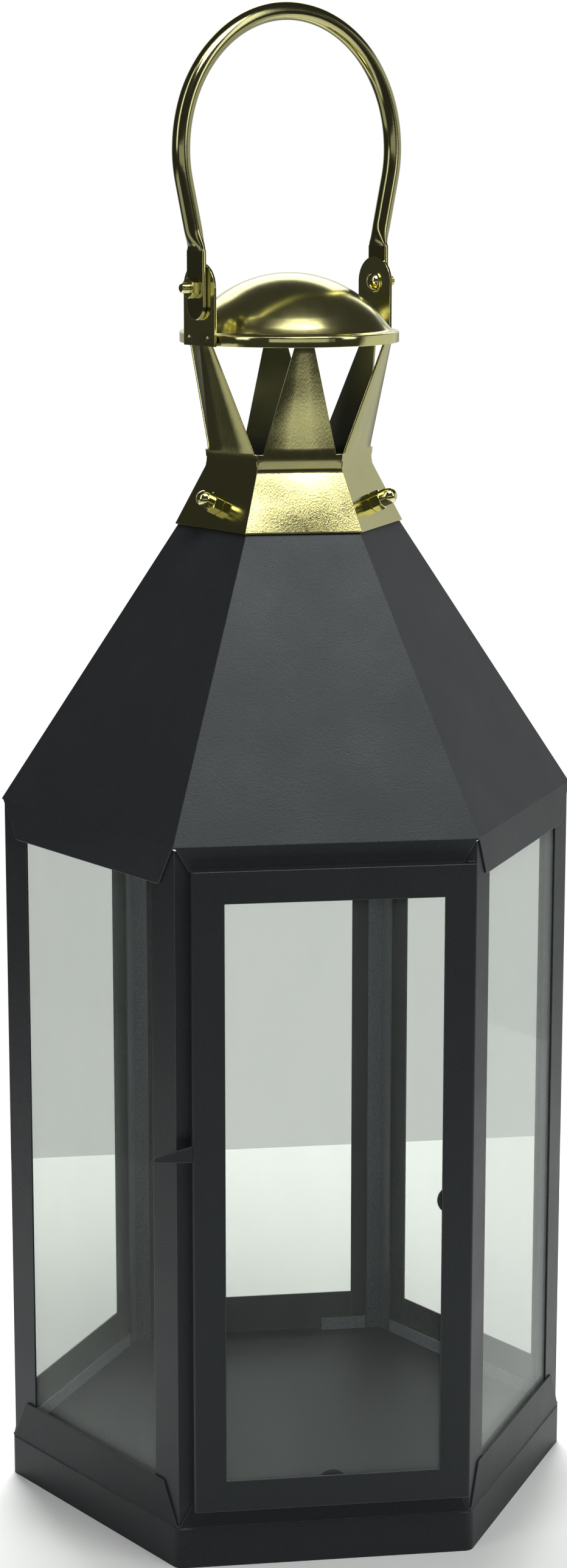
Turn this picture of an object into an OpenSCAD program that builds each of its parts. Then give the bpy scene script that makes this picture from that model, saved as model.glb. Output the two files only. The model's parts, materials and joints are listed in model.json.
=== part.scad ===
// Hexagonal candle lantern: a black sheet-steel case with glass panes, a glazed door
// and a brass crown, lid and swinging handle. Millimetres, +Z up.
// The origin is the centre of the foot's underside; the door faces -Y.

/* [Case] */
// Width of the case across its flat faces
case_flats = 200; // [180:1:240]
// Height of the plinth under the floor tray
plinth_h = 16.5; // [12:0.5:30]
// How far the plinth stands out from the case on each side
plinth_proud = 0.4; // [0.2:0.1:2]
// Width of the plinth's turned-in hem and lip
plinth_lip = 6; // [4:0.5:10]
// Radius of the plinth's upright corners
plinth_corner_r = 4; // [1:0.5:5]
// Height of the floor tray's turned-up walls
tray_wall_h = 17; // [14:0.5:24]
// Height from the tray's underside to the fold of the eaves
case_h = 270; // [240:1:320]
// Thickness of the black steel sheet
sheet_t = 0.8; // [0.6:0.1:1.2]
// Width of each leg of the corner posts
post_leg = 15; // [12:0.5:18]
// Width of the corner posts' legs beside the door
door_leg = 12; // [11:0.5:14]
// Distance from a corner to the end of a folded wall's free edge
fold_relief = 9.5; // [6:0.5:12]
// Gap left at the corners along the folds
fold_gap = 0.5; // [0.3:0.1:1.5]
// Radius of the folded walls' rounded corners
fold_corner_r = 2; // [1:0.5:4]

/* [Glass] */
// Thickness of the panes
glass_t = 2; // [1.5:0.1:3]
// Play between a pane and what holds it, on each side
glass_play = 0.15; // [0.1:0.05:0.4]
// Width of each leg of the glazing bars behind the panes
bar_leg = 6.5; // [5:0.5:9]
// Gap between a pane's upright edge and the bar's stem
pane_edge_gap = 0.4; // [0.2:0.1:1.5]
// Height of the ledge strips that hold the panes' lower edges
ledge_h = 5.5; // [4:0.5:8]
// Length of the back pane's short ledge clip
back_ledge_l = 20; // [12:1:40]
// Gap between the panes' upper edges and the eaves
pane_top_gap = 6; // [4:0.5:12]
// How far the glazing bars reach above the panes
bar_over = 2; // [0:0.5:3]
// Gap between the ledge strips' ends and the glazing bars
ledge_end_gap = 0.5; // [0.2:0.1:2]

/* [Roof] */
// Height of the roof from the eaves to its open top
roof_h = 125; // [100:1:150]
// Width of the roof's open top across its flat faces
roof_top_flats = 57.5; // [45:0.5:58]
// Depth of the eaves' turned-down walls
eave_wall_h = 15.5; // [12:0.5:20]

/* [Crown] */
// Thickness of the brass sheet
brass_t = 0.8; // [0.6:0.1:1]
// Height of the crown's skirt
skirt_h = 23; // [18:0.5:30]
// Width of the crown's neck across its flat faces
neck_flats = 57.3; // [52:0.1:60]
// Gap between the skirt's lower edge and the roof
skirt_gap = 0.3; // [0.2:0.1:1]
// How much wider the skirt is across its flats at the bottom than at the neck
skirt_flare = 21.4; // [16:0.2:28]
// Height of the upright band between the neck fold and the leaves' bends
neck_band_h = 3; // [2:0.2:6]
// Width of the slots that relieve the folds at the neck's corners
neck_slot_w = 1.4; // [0.8:0.1:2]
// Radius of the bend that turns a leaf outwards
leaf_bend_r = 20; // [12:1:40]
// Height of the leaves above the neck band
leaf_h = 47.5; // [36:0.5:60]
// Width left between two leaves at their roots
leaf_vee_w = 4.6; // [2:0.2:8]
// Height of the web that joins two leaves at their roots
leaf_web_h = 3.3; // [2:0.1:6]
// Width of a leaf at its tip
leaf_tip_w = 6.2; // [4:0.2:12]

/* [Lid] */
// Diameter of the lid over its rim
lid_d = 86; // [78:1:96]
// Height of the lid's rim
rim_h = 4.3; // [3:0.1:8]
// How far the leaves' tips reach up inside the rim
rim_lap = 2.8; // [1.5:0.1:4]
// Width of the sloping brim between the rim and the dome
brim_w = 4.7; // [3:0.1:10]
// Rise of the sloping brim
brim_rise = 2.7; // [1:0.1:6]
// Rise of the dome above the brim
dome_rise = 19.8; // [10:0.2:30]

/* [Handle] */
// Diameter of the handle's tube
tube_d = 7; // [5:0.5:9]
// Radius of the handle's bow at the tube's centre line
bow_r = 52; // [49:1:60]
// Height of the bow's centre above the pivots
bow_rise = 51.8; // [46:0.2:70]
// Width of the tube where it is pressed flat
tab_w = 10.8; // [9:0.2:13]
// Thickness of the tube where it is pressed flat
tab_t = 1.8; // [1.4:0.1:3]
// Length of the flat from the pivot up to the tube
tab_up = 15.5; // [13:0.5:24]
// Length of the flat below the pivot, down to its rounded end
tab_below = 7; // [5:0.5:12]
// Length over which the flat swells into the round tube
tab_swell = 7; // [4:0.5:12]
// Width of the ears that carry the handle
ear_w = 19.6; // [16:0.2:24]
// Thickness of the ears
ear_t = 1; // [0.8:0.1:2]
// Diameter of the weld dimples low on the ears
weld_d = 3; // [2:0.2:4]
// Depth of the weld dimples
weld_depth = 0.35; // [0.2:0.05:0.4]
// Height of the pivots above the lid's brim edge
pivot_rise = 17.8; // [15:0.2:26]
// Side play between an ear and the handle
pivot_play = 0.15; // [0.1:0.05:0.4]

/* [Door] */
// Gap between the door's hinged edge and the case's corner
door_hinge_gap = 1.5; // [1:0.1:4]
// Gap between the door's free edge and the case's corner
door_free_gap = 6; // [4:0.1:12]
// Gap between the door's upper edge and the fold of the eaves
door_top_gap = 8.2; // [6:0.2:20]
// Height of the door's lower edge above the tray's underside
door_lift = 8.8; // [6:0.2:20]
// Width of the door's frame around its glass
door_frame_w = 12.4; // [12:0.1:15]
// Depth of the door's folded frame
door_depth = 6; // [5.8:0.1:8]
// Gap between the shut door and the case
door_gap = 0.3; // [0.2:0.1:0.6]
// Radius of the door's rounded upright edges
door_edge_r = 1.2; // [1:0.1:1.5]
// How far the door's glass reaches behind the frame
door_glass_lap = 2.8; // [2:0.1:2.9]
// Diameter of the round clips that hold the door's glass
clip_d = 11; // [10:0.1:12]
// How far the lower and the right clip show beyond the frame
clip_show = 1.3; // [0.5:0.1:1.6]
// Height of the side clips above the door's lower edge
clip_z = 120.6; // [60:0.2:160]
// Diameter of the studs that hold the clips
stud_d = 2.2; // [1.8:0.1:2.6]
// Diameter of the studs' heads
stud_head_d = 4; // [3:0.2:5]
// Height of the studs' heads
stud_head_h = 0.6; // [0.4:0.1:1]
// Height of the pull tab above the side clips
pull_up = 23.4; // [14:0.2:60]
// How far the pull tab reaches out past the door
pull_reach = 14.5; // [8:0.5:20]
// Height of the pull tab where it leaves the door
pull_root_h = 6.4; // [5:0.2:10]
// Height of the pull tab at its tip
pull_tip_h = 2.2; // [1.5:0.1:4]
// How far the pull tab reaches in behind the door's face
pull_root_l = 7; // [4:0.5:8]
// How far the pull tab's tip droops
pull_droop = 1.4; // [0:0.1:3]

/* [Hinge] */
// Diameter of the hinge pins' spigots
hinge_pin_d = 2; // [1.6:0.1:2.4]
// Diameter of the hinge pins' collars
hinge_collar_d = 3.2; // [3:0.1:3.6]
// Radial clearance of a pin in its bore
hinge_clear = 0.1; // [0.05:0.05:0.15]
// Gap between a hinge pin's collar and what it runs beside
hinge_gap = 0.2; // [0.1:0.05:0.4]
// Width of the metal round a hinge pin's bore
hinge_eye_w = 0.7; // [0.6:0.1:1]
// How far a hinge pin reaches past its bracket
hinge_pin_end = 2; // [1:0.2:3]
// Height left free in the door's edge above and below a bracket
hinge_slot = 1.2; // [1:0.1:2]
// Thickness of the hinge brackets
bracket_t = 1; // [0.8:0.1:1.4]
// Width of the hinge brackets
bracket_w = 4.2; // [3:0.2:6]
// Height of the hinge brackets on the post
bracket_h = 9; // [6:0.5:14]

/* [Fasteners] */
// Thread diameter of all screws
screw_d = 4; // [3:0.5:4]
// Radial clearance of a screw in a hole
screw_clear = 0.1; // [0.05:0.05:0.15]
// Radial clearance of a screw in the roof's holes
roof_hole_clear = 0.4; // [0.3:0.1:0.8]
// Chamfer at a screw's end
screw_chamfer = 0.6; // [0.3:0.1:0.8]
// Diameter of the flange under a screw's head
head_d = 8.6; // [7.4:0.2:9.4]
// Thickness of the flange under a screw's head
head_flange_h = 0.7; // [0.5:0.1:0.9]
// Diameter of a screw's dome
dome_d = 6.4; // [5:0.2:7]
// Height of a screw's head over all
head_h = 2.7; // [2.2:0.1:3]
// Width across the flats of the nuts
nut_flats = 7; // [6:0.5:8]
// Height of the pivots' plain nuts
nut_h = 3.2; // [2.4:0.1:4]
// Length of screw that shows past a pivot's nut
screw_end = 3.2; // [2:0.2:5]
// Height of the cap nuts' hexagon
cap_hex_h = 4.2; // [3:0.1:5]
// Height of the cap nuts over all
cap_nut_h = 10.5; // [8:0.5:13]
// Height of the cap nuts above the skirt's lower edge
cap_nut_z = 8.8; // [7:0.2:12]

/* [Hidden] */
CORNERS = ["right", "back_right", "back_left", "left", "front_left", "front_right"];
FACES = ["front", "right_front", "right_back", "back", "left_back", "left_front"];
$fn = 64;
eps = 0.01;
seat = 0.05; // left between pieces that rest on each other
edge_gap = 0.2; // left between pieces that lie side by side in the door
black = "#26282a";
grey = "#5a5e60";
brass = "#b6a24c";
pane = "#c8d2cc";

// Heights
tray_z = plinth_h;
floor_z = tray_z + sheet_t;
eave_z = tray_z + case_h;
roof_top_z = eave_z + roof_h;

// Half widths across flats, from the outside inwards
case_a = case_flats / 2;
post_a = case_a - sheet_t;
post_in_a = post_a - sheet_t;
pane_a = post_in_a - glass_play;
bar_a = pane_a - glass_t - glass_play;
bar_in_a = bar_a - sheet_t;
bar_stem = 2 * sheet_t;

// Roof and crown
roof_top_a = roof_top_flats / 2;
roof_run = case_a - roof_top_a;
roof_slope_l = norm([roof_run, roof_h]);
neck_a = neck_flats / 2;
skirt_a = neck_a + skirt_flare / 2;
skirt_slope_l = norm([skirt_flare / 2, skirt_h]);
skirt_in = brass_t * skirt_slope_l / skirt_h;
skirt_z = eave_z + roof_h * (case_a - skirt_a + skirt_in + skirt_gap) / roof_run;
neck_z = skirt_z + skirt_h;
nut_face_a = skirt_a - cap_nut_z * skirt_flare / 2 / skirt_h;
nut_roof_a = case_a - ((skirt_z + cap_nut_z - eave_z) * roof_run + sheet_t * roof_slope_l) / roof_h;
leaf_z = neck_z + neck_band_h;
leaf_root_z = leaf_z + leaf_web_h;
leaf_tip_z = leaf_z + leaf_h;

// Lid and handle
lid_r = lid_d / 2;
rim_z = leaf_tip_z - rim_lap;
brim_z = rim_z + rim_h;
dome_z = brim_z + brim_rise;
dome_r = lid_r - brim_w;
dome_ball_r = (dome_r * dome_r + dome_rise * dome_rise) / (2 * dome_rise);
leaf_tip_a = sqrt(pow(lid_r - brass_t, 2) - pow(leaf_tip_w / 2, 2)) - seat;
leaf_run = leaf_tip_a - neck_a;
leaf_tilt = asin(leaf_bend_r / norm([leaf_bend_r - leaf_run, leaf_h])) - atan2(leaf_bend_r - leaf_run, leaf_h);
leaf_flat_l = (leaf_h - leaf_bend_r * sin(leaf_tilt)) / cos(leaf_tilt);
pivot_z = brim_z + pivot_rise;
handle_turn = 30;
tab_x = lid_r + ear_t + pivot_play + tab_t / 2;
tab_down = tab_w / 2 + tab_below;
bow_dx = tab_x;
bow_dz = bow_rise - tab_up;
bow_dist = norm([bow_dx, bow_dz]);
bow_open = atan2(bow_dx, bow_dz) + acos(bow_r / bow_dist);
leg_tilt = 90 - bow_open;
leg_l = sqrt(bow_dist * bow_dist - bow_r * bow_r);

// Door: x runs along the front, y out of it (negative)
half_side = case_a * tan(30);
door_x0 = door_free_gap - half_side;
door_x1 = half_side - door_hinge_gap;
door_w = door_x1 - door_x0;
door_z0 = tray_z + door_lift;
door_z1 = eave_z - door_top_gap;
door_h = door_z1 - door_z0;
door_y0 = -case_a - door_gap;
door_y1 = door_y0 - door_depth;
door_in_y = door_y1 + sheet_t;
hinge_x = door_x1 - sheet_t - hinge_gap - hinge_collar_d / 2;
hinge_y = door_in_y + hinge_gap + hinge_collar_d / 2;
lower_bracket_z = tray_z + tray_wall_h + 1;
upper_bracket_z = min(eave_z - eave_wall_h - 1, door_z1 - door_lift + hinge_gap) - bracket_t;
open_x0 = door_x0 + door_frame_w;
open_x1 = door_x1 - door_frame_w;
open_z0 = door_z0 + door_frame_w;
open_z1 = door_z1 - door_frame_w;
clip_off = clip_d / 2 - clip_show;
clip_hide = min(clip_d / 2, door_frame_w - sheet_t - edge_gap - clip_d / 2);
glass_lap = min(door_glass_lap, clip_off - stud_d / 2 - edge_gap);
door_glass_back = door_in_y + glass_play + glass_t;
clip_y = door_glass_back + seat;
pull_z = door_z0 + clip_z + pull_up;

// Places of the four clips, as [x, z]: bottom, top, left and right
clip_places = [[(door_x0 + door_x1) / 2, open_z0 - clip_off],
               [(door_x0 + door_x1) / 2, open_z1 + clip_hide],
               [open_x0 - clip_hide, door_z0 + clip_z],
               [open_x1 + clip_off, door_z0 + clip_z]];

// A hexagon with half width a across its flats, with a corner on the X axis
module hexagon(a) {
    circle(r = a / cos(30), $fn = 6);
}

// The same hexagon with corners of radius r
module soft_hexagon(a, r) {
    inner = (a - r) / cos(30);
    polygon([for (k = [0:5], s = [-30, 30])
        inner * [cos(60 * k), sin(60 * k)] + r * [cos(60 * k + s), sin(60 * k + s)]]);
    for (k = [0:5])
        translate(inner * [cos(60 * k), sin(60 * k)]) circle(r = r);
}

// A six-sided frustum with half widths a0 and a1
module frustum(a0, a1, h) {
    cylinder(r1 = a0 / cos(30), r2 = a1 / cos(30), h = h, $fn = 6);
}

// An angle strip along the Z axis: the two legs meet at the case's corner at 0 degrees.
// Each leg has its own width; 0 leaves it out
module corner_angle(a, low_leg, high_leg, t, h) {
    tip = [a / cos(30), 0];
    root = [(a - t) / cos(30), 0];
    function end(leg) = tip + leg * [-sin(30), cos(30)];
    function end_in(leg) = end(leg) + t * [-cos(30), -sin(30)];
    linear_extrude(h)
        polygon(concat([tip], high_leg > 0 ? [end(high_leg), end_in(high_leg)] : [], [root],
                       low_leg > 0 ? [[end_in(low_leg)[0], -end_in(low_leg)[1]],
                                      [end(low_leg)[0], -end(low_leg)[1]]] : []));
}

// A wall folded off a plate: full length at z = 0, shorter at its free edge, outer face at y = -a
module folded_wall(a, h) {
    half = a * tan(30);
    root = half - fold_gap;
    tip = half - fold_relief;
    r = fold_corner_r;
    slant_l = norm([root - tip, h]);
    x = root + ((tip - root) * (h - r) - r * slant_l) / h;
    side = [x + r * h / slant_l, h - r + r * (root - tip) / slant_l];
    translate([0, -a + sheet_t, 0])
        rotate([90, 0, 0])
            linear_extrude(sheet_t) {
                polygon([[-root, 0], [root, 0], side, [x, h], [-x, h], [-side[0], side[1]]]);
                for (s = [-1, 1])
                    translate([s * x, h - r]) circle(r = r);
            }
}

// Runs its children on the six faces; the front face is number 0, counted anticlockwise
module on_face(k) {
    rotate([0, 0, 60 * k]) children();
}

module plinth_band() {
    out_a = case_a + plinth_proud;
    in_a = out_a - sheet_t;
    in_r = plinth_corner_r - sheet_t;
    color(black)
        difference() {
            union() {
                linear_extrude(plinth_h - sheet_t / 2) soft_hexagon(out_a, plinth_corner_r);
                linear_extrude(plinth_h) soft_hexagon(out_a - sheet_t / 2, plinth_corner_r);
            }
            translate([0, 0, sheet_t])
                linear_extrude(plinth_h - 2 * sheet_t) soft_hexagon(in_a, in_r);
            translate([0, 0, -eps])
                linear_extrude(plinth_h + 1) soft_hexagon(in_a - plinth_lip, in_r);
        }
}

module floor_tray() {
    color(grey)
        union() {
            translate([0, 0, tray_z]) linear_extrude(sheet_t) hexagon(case_a);
            for (k = [0:5])
                on_face(k) translate([0, 0, tray_z]) folded_wall(case_a, tray_wall_h);
        }
}

// A corner post; the two beside the door have a narrower leg on its side
module corner_post(k) {
    post_top = eave_z - 2 * sheet_t;
    low_leg = CORNERS[k] == "front_right" ? door_leg : post_leg;
    high_leg = CORNERS[k] == "front_left" ? door_leg : post_leg;
    color(black)
        rotate([0, 0, 60 * k])
            translate([0, 0, floor_z])
                corner_angle(post_a, low_leg, high_leg, sheet_t, post_top - floor_z);
}

// A glazing bar in a corner; the two beside the door have no leg on its side
module glazing_bar(k) {
    bar_top = eave_z - pane_top_gap + bar_over;
    stem_x0 = (bar_a - sheet_t) / cos(30);
    stem_x1 = post_in_a / cos(30) - bar_stem / 2 * tan(30);
    low_leg = CORNERS[k] == "front_right" ? 0 : bar_leg;
    high_leg = CORNERS[k] == "front_left" ? 0 : bar_leg;
    color(grey)
        rotate([0, 0, 60 * k])
            translate([0, 0, floor_z]) {
                corner_angle(bar_a, low_leg, high_leg, sheet_t, bar_top - floor_z);
                translate([stem_x0, -bar_stem / 2, 0])
                    cube([stem_x1 - stem_x0, bar_stem, bar_top - floor_z]);
            }
}

module side_glass(k) {
    half = (pane_a - glass_t) * tan(30) - bar_stem / 2 / cos(30) - pane_edge_gap;
    z0 = floor_z + sheet_t + seat;
    color(pane)
        on_face(k)
            translate([-half, -pane_a, z0])
                cube([2 * half, glass_t, eave_z - pane_top_gap - z0]);
}

// An L-shaped strip on the floor; the back pane has only a short one
module pane_ledge(k) {
    half = bar_a * tan(30) - bar_leg - ledge_end_gap;
    length = FACES[k] == "back" ? back_ledge_l : 2 * half;
    color(grey)
        on_face(k)
            translate([-half, -pane_a, floor_z]) {
                cube([length, pane_a - bar_in_a, sheet_t]);
                translate([0, pane_a - bar_a, 0]) cube([length, sheet_t, ledge_h]);
            }
}

// Axis of a cap nut's screw: origin on the skirt's outer face, +Z out of it, for the face at angle az
module cap_nut_place(az) {
    tilt = atan2(skirt_h, skirt_flare / 2);
    rotate([0, 0, az])
        translate([nut_face_a, 0, skirt_z + cap_nut_z])
            rotate([0, tilt, 0]) children();
}

module roof() {
    flat = sheet_t * roof_slope_l / roof_h;
    fold_h = 0.75 * sheet_t;
    hole_d = screw_d + 2 * roof_hole_clear;
    color(black)
        difference() {
            union() {
                translate([0, 0, eave_z]) frustum(case_a, roof_top_a, roof_h);
                translate([0, 0, eave_z - fold_h]) linear_extrude(fold_h + eps) hexagon(case_a);
                for (k = [0:5])
                    on_face(k) translate([0, 0, eave_z]) mirror([0, 0, 1]) folded_wall(case_a, eave_wall_h);
            }
            translate([0, 0, eave_z - eps])
                frustum(case_a - flat + eps * roof_run / roof_h, roof_top_a - flat - eps * roof_run / roof_h,
                        roof_h + 2 * eps);
            translate([0, 0, eave_z - fold_h - eps]) linear_extrude(fold_h + 2 * eps) hexagon(case_a - sheet_t);
            for (az = [90, 210, 330])
                cap_nut_place(az) translate([0, 0, -2 * screw_d]) cylinder(d = hole_d, h = 2 * screw_d);
        }
}

// Section of a leaf, [distance from the axis, height]: the bend outwards and the flat
module leaf_section() {
    steps = 6;
    sunk = 0.02;
    function bend(r) = [for (i = [0:steps])
        [neck_a + leaf_bend_r - sunk - r * cos(leaf_tilt * i / steps), leaf_z + r * sin(leaf_tilt * i / steps)]];
    function reversed(v) = [for (i = [len(v) - 1:-1:0]) v[i]];
    outer = bend(leaf_bend_r);
    inner = bend(leaf_bend_r + brass_t);
    flat = leaf_flat_l * [sin(leaf_tilt), cos(leaf_tilt)];
    polygon(concat(outer, [outer[steps] + flat, inner[steps] + flat], reversed(inner),
                   [[neck_a - brass_t / 2, leaf_z - brass_t / 2]]));
}

// One leaf of the front face, rising from behind the neck band's face
module leaf() {
    root_w = 2 * neck_a * tan(30) - leaf_vee_w;
    slant = (root_w - leaf_tip_w) / 2 / (leaf_tip_z - leaf_root_z);
    low_w = root_w + 2 * slant * (leaf_root_z - leaf_z + 1);
    intersection() {
        translate([-neck_a, 0, 0]) rotate([90, 0, 90]) linear_extrude(2 * neck_a) mirror([1, 0]) leaf_section();
        rotate([90, 0, 0]) linear_extrude(lid_r)
            polygon([[-low_w / 2, leaf_z - 1], [low_w / 2, leaf_z - 1],
                     [leaf_tip_w / 2, leaf_tip_z], [leaf_tip_w / 2, leaf_tip_z + 1],
                     [-leaf_tip_w / 2, leaf_tip_z + 1], [-leaf_tip_w / 2, leaf_tip_z]]);
    }
}

module crown() {
    band_h = neck_band_h + leaf_web_h;
    color(brass)
        difference() {
            union() {
                difference() {
                    union() {
                        translate([0, 0, skirt_z]) frustum(skirt_a, neck_a, skirt_h);
                        translate([0, 0, neck_z - eps]) linear_extrude(band_h + eps) hexagon(neck_a);
                    }
                    translate([0, 0, skirt_z - eps])
                        frustum(skirt_a - skirt_in + eps, neck_a - skirt_in, skirt_h + eps);
                    translate([0, 0, neck_z - 1]) linear_extrude(band_h + 2) hexagon(neck_a - skirt_in);
                }
                for (k = [0:5]) on_face(k) leaf();
            }
            for (k = [0:5])
                rotate([0, 0, 60 * k])
                    translate([neck_a / cos(30) - 2, 0, neck_z + neck_slot_w / 4]) rotate([90, 0, 90])
                        linear_extrude(4)
                            polygon([[-neck_slot_w / 8, 0], [neck_slot_w / 8, 0],
                                     [neck_slot_w / 2, neck_band_h], [-neck_slot_w / 2, neck_band_h]]);
            for (az = [90, 210, 330])
                cap_nut_place(az) translate([0, 0, -screw_d]) cylinder(d = screw_d + 2 * screw_clear, h = 2 * screw_d);
        }
}

// A flanged dome head, flat side on z = 0, dome towards +Z
module flange_head() {
    cap_h = head_h - 1.5 * head_flange_h;
    ball = (dome_d * dome_d / 4 + cap_h * cap_h) / (2 * cap_h);
    cylinder(d = head_d, h = head_flange_h);
    intersection() {
        translate([0, 0, head_h - ball]) sphere(r = ball);
        cylinder(d = dome_d, h = head_h);
    }
}

module crown_screws() {
    roof_lean = atan2(roof_run, roof_h);
    lean = roof_lean - atan2(skirt_flare / 2, skirt_h);
    behind = (nut_face_a - nut_roof_a) * cos(roof_lean) / cos(lean);
    grip = behind + head_d / 2 * tan(lean) + seat;
    color(brass)
        for (az = [90, 210, 330])
            cap_nut_place(az) {
                translate([0, 0, -grip - head_h / 2]) cylinder(d = screw_d, h = grip + head_h / 2 + cap_nut_h / 2);
                translate([0, 0, -grip]) mirror([0, 0, 1]) flange_head();
            }
}

// The hexagon of a nut, its corners chamfered at both ends
module nut_body(h) {
    corner_r = nut_flats / 2 / cos(30);
    flat_r = nut_flats / 2;
    drop = (corner_r - flat_r) * tan(30);
    intersection() {
        cylinder(r = corner_r, h = h, $fn = 6);
        rotate_extrude()
            polygon([[0, 0], [flat_r, 0], [corner_r + eps, drop], [corner_r + eps, h - drop], [flat_r, h], [0, h]]);
    }
}

module cap_nut() {
    cap_r = 0.94 * nut_flats / 2;
    difference() {
        union() {
            nut_body(cap_hex_h);
            cylinder(r = cap_r, h = cap_nut_h - cap_r);
            translate([0, 0, cap_nut_h - cap_r]) sphere(r = cap_r);
        }
        translate([0, 0, -eps]) cylinder(d = screw_d + 2 * screw_clear, h = cap_nut_h / 2 + 0.5);
    }
}

module cap_nuts() {
    color(brass)
        for (az = [90, 210, 330])
            cap_nut_place(az) translate([0, 0, seat]) cap_nut();
}

module lid() {
    color(brass)
        rotate_extrude($fn = 96) {
            polygon([[lid_r - brass_t, rim_z], [lid_r, rim_z], [lid_r, brim_z],
                     [dome_r, dome_z], [dome_r - brass_t, dome_z - brass_t / 2], [lid_r - brass_t, brim_z - brass_t]]);
            intersection() {
                translate([0, dome_z + dome_rise - dome_ball_r]) difference() {
                    circle(r = dome_ball_r, $fn = 128);
                    circle(r = dome_ball_r - brass_t, $fn = 128);
                }
                translate([0, dome_z - brass_t / 2]) square([dome_r, dome_rise + 1]);
            }
        }
}

// Places its children in the handle's own frame: x along the pivots' axis, z up, origin on the axis
module handle_frame() {
    translate([0, 0, pivot_z]) rotate([0, 0, handle_turn]) children();
}

module ear(side) {
    foot = pivot_z - rim_z;
    weld_ball = (weld_d * weld_d / 4 + weld_depth * weld_depth) / (2 * weld_depth);
    color(brass)
        handle_frame()
            mirror([side < 0 ? 1 : 0, 0, 0])
                translate([lid_r, 0, 0])
                    difference() {
                        rotate([90, 0, 90]) linear_extrude(ear_t) {
                            circle(d = ear_w);
                            translate([-ear_w / 2, -foot]) square([ear_w, foot]);
                        }
                        translate([-1, 0, 0]) rotate([0, 90, 0])
                            cylinder(d = screw_d + 2 * screw_clear, h = ear_t + 2);
                        for (s = [-1, 1])
                            translate([ear_t - weld_depth + weld_ball, s * 0.3 * ear_w, 0.58 * rim_h - foot])
                                sphere(r = weld_ball);
                    }
}

module pivot_screws() {
    grip = ear_t + 2 * pivot_play + tab_t + nut_h;
    color(brass)
        for (s = [0, 1])
            handle_frame() mirror([s, 0, 0]) translate([lid_r, 0, 0]) rotate([0, 90, 0]) {
                mirror([0, 0, 1]) flange_head();
                rotate_extrude()
                    polygon([[0, -head_h / 2], [screw_d / 2, -head_h / 2],
                             [screw_d / 2, grip + screw_end - screw_chamfer],
                             [screw_d / 2 - screw_chamfer, grip + screw_end], [0, grip + screw_end]]);
            }
}

module pivot_nuts() {
    place = lid_r + ear_t + 2 * pivot_play + tab_t;
    color(brass)
        for (s = [0, 1])
            handle_frame() mirror([s, 0, 0]) translate([place, 0, 0]) rotate([0, 90, 0])
                difference() {
                    nut_body(nut_h);
                    translate([0, 0, -1]) cylinder(d = screw_d + screw_clear, h = nut_h + 2);
                }
}

// Half of the handle on the +x side: pressed tab, swelling tube and straight leg
module handle_side() {
    lap = 0.3;
    inset = 0.03;
    difference() {
        translate([tab_x - tab_t / 2, 0, 0]) rotate([90, 0, 90]) linear_extrude(tab_t) {
            translate([-tab_w / 2, tab_w / 2 - tab_down]) square([tab_w, tab_down - tab_w / 2 + tab_up]);
            translate([0, tab_w / 2 - tab_down]) circle(d = tab_w);
        }
        translate([tab_x - tab_t, 0, 0]) rotate([0, 90, 0])
            cylinder(d = screw_d + 2 * screw_clear, h = 2 * tab_t);
    }
    hull() {
        translate([tab_x - tab_t / 2, -tab_w / 2, tab_up - lap]) cube([tab_t, tab_w, lap]);
        translate([tab_x, 0, tab_up]) rotate([0, leg_tilt, 0])
            translate([0, 0, tab_swell]) cylinder(d = tube_d - 2 * inset, h = lap, $fn = 40);
    }
    translate([tab_x, 0, tab_up]) rotate([0, leg_tilt, 0]) {
        translate([0, 0, tab_swell]) cylinder(d = tube_d, h = leg_l - tab_swell);
        translate([0, 0, leg_l - 1]) cylinder(d = tube_d - 3 * lap, h = 2);
    }
}

module handle() {
    color(brass)
        handle_frame() {
            translate([0, 0, bow_rise]) rotate([90, 0, 0])
                rotate([0, 0, bow_open - 90])
                    rotate_extrude(angle = 360 - 2 * bow_open, $fn = 80) translate([bow_r, 0]) circle(d = tube_d);
            handle_side();
            mirror([1, 0, 0]) handle_side();
        }
}

// A bracket on the post with an eye round the hinge axis; z is the underside of its eye plate
module hinge_bracket(z, up) {
    off = hinge_pin_d / 2;
    color(black)
        difference() {
            translate([hinge_x, 0, 0]) {
                translate([0, 0, z]) linear_extrude(bracket_t) {
                    translate([0, hinge_y]) circle(d = hinge_pin_d + 2 * (hinge_clear + hinge_eye_w));
                    translate([-off - bracket_w, hinge_y - off]) square([bracket_w, off - post_a - hinge_y]);
                    translate([-2 * off, hinge_y - off]) square([2 * off, 2 * off]);
                }
                translate([-off - bracket_w, -post_a - sheet_t, up ? z : z + bracket_t - bracket_h])
                    cube([bracket_w, sheet_t, bracket_h]);
            }
            translate([hinge_x, hinge_y, z - 1])
                cylinder(d = hinge_pin_d + 2 * hinge_clear, h = bracket_t + 2);
        }
}

module hinge_bracket_lower() {
    hinge_bracket(lower_bracket_z, true);
}

module hinge_bracket_upper() {
    hinge_bracket(upper_bracket_z, false);
}

// A stepped pin: head outside the door, collar inside it, spigot through the bracket
module hinge_pin(face_z, bracket_z, s) {
    gap = abs(bracket_z - face_z);
    color(black)
        translate([hinge_x, hinge_y, face_z]) mirror([0, 0, s < 0 ? 1 : 0]) {
            translate([0, 0, -sheet_t]) cylinder(d = hinge_collar_d, h = sheet_t);
            cylinder(d = hinge_pin_d, h = gap + bracket_t + hinge_pin_end);
            translate([0, 0, sheet_t]) cylinder(d = hinge_collar_d, h = gap - sheet_t - hinge_gap);
        }
}

module hinge_pin_lower() {
    hinge_pin(door_z0, lower_bracket_z, 1);
}

module hinge_pin_upper() {
    hinge_pin(door_z1, upper_bracket_z + bracket_t, -1);
}

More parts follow.
